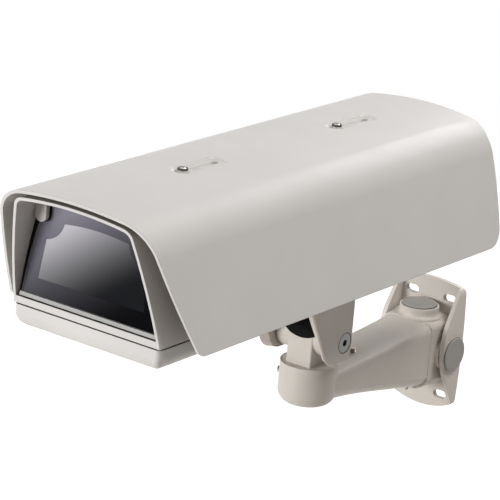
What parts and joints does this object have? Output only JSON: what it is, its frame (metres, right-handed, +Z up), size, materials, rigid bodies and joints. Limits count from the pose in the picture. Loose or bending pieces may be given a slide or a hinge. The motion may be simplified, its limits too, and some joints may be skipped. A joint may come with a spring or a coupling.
{
  "type": "security camera housing",
  "caption": "Weatherproof camera housing with a slanted window under a sliding arched sunshield, carried by a pan and tilt head on a cast wall arm.",
  "frame": {"origin": "centre of the four wall slots, on the back face of the wall plate", "axes": "+Y into the wall, +Z up, +X to the right for someone who faces the window's side of the wall; the window looks along -Y"},
  "size_m": [0.17, 0.4755, 0.2674],
  "materials": {
    "casting_paint": "fine satin powder coat",
    "shade_paint": "fine satin powder coat",
    "plug_grey": "moulded, fine grain",
    "steel": "stainless",
    "dark_steel": "blackened",
    "rubber_black": "soft, matte",
    "seal_grey": "closed-cell foam",
    "nylon": "nylon",
    "slide_metal": "mill finish",
    "heater_metal": "anodised",
    "board_green": "glass-fibre board",
    "terminal_green": "moulded",
    "gland_grey": "polyamide",
    "window": "clear pane with a printed border",
    "strip_metal": "satin anodised"
  },
  "bodies": {
    "wall_bracket": {"wall_arm": "casting_paint", "conduit_plug_top": "plug_grey", "conduit_plug_right": "plug_grey", "conduit_plug_left": "plug_grey", "earth_screw": "dark_steel", "pan_lock_screws": "steel", "pan_seal_ring": "rubber_black"},
    "swivel": {"swivel_neck": "casting_paint", "cable_grommet": "rubber_black", "tilt_friction_washers": "rubber_black", "tilt_bolt_left": "steel", "tilt_bolt_right": "steel"},
    "housing_base": {"tilt_saddle": "casting_paint", "saddle_screws": "steel", "base_tray": "casting_paint", "tray_seal": "seal_grey", "heater_plate": "heater_metal", "terminal_board": "board_green", "terminal_blocks": "terminal_green", "cable_glands": "gland_grey", "gland_nuts": "gland_grey", "hinge_pins": "steel"},
    "cover": {"upper_cover": "casting_paint", "window_glass": "window", "window_seal": "seal_grey", "window_retainer": "strip_metal", "closing_screws": "steel", "shade_slide_pads": "nylon", "shade_washers": "nylon", "shade_screws": "steel"},
    "sunshield_sheet": {"sunshield": "shade_paint"},
    "camera_carriage": {"camera_slide": "slide_metal", "camera_screws": "steel"}
  },
  "joints": [
    {"name": "pan", "type": "hinge", "parent": "wall_bracket", "child": "swivel", "pos_m": [0, -0.174, 0.0247], "axis": [0, 0, 1], "range_deg": [-90, 90]},
    {"name": "tilt", "type": "hinge", "parent": "swivel", "child": "housing_base", "pos_m": [0, -0.174, 0.0474], "axis": [1, 0, 0], "range_deg": [-15, 60]},
    {"name": "cover_hinge", "type": "hinge", "parent": "housing_base", "child": "cover", "pos_m": [-0.073, -0.2705, 0.1117], "axis": [0, -1, 0], "range_deg": [0, 90]},
    {"name": "sunshield_slide", "type": "slide", "parent": "cover", "child": "sunshield_sheet", "axis": [0, -1, 0], "range_m": [0, 0.036]},
    {"name": "camera_slide_travel", "type": "slide", "parent": "housing_base", "child": "camera_carriage", "axis": [0, -1, 0], "range_m": [0, 0.02]}
  ]
}
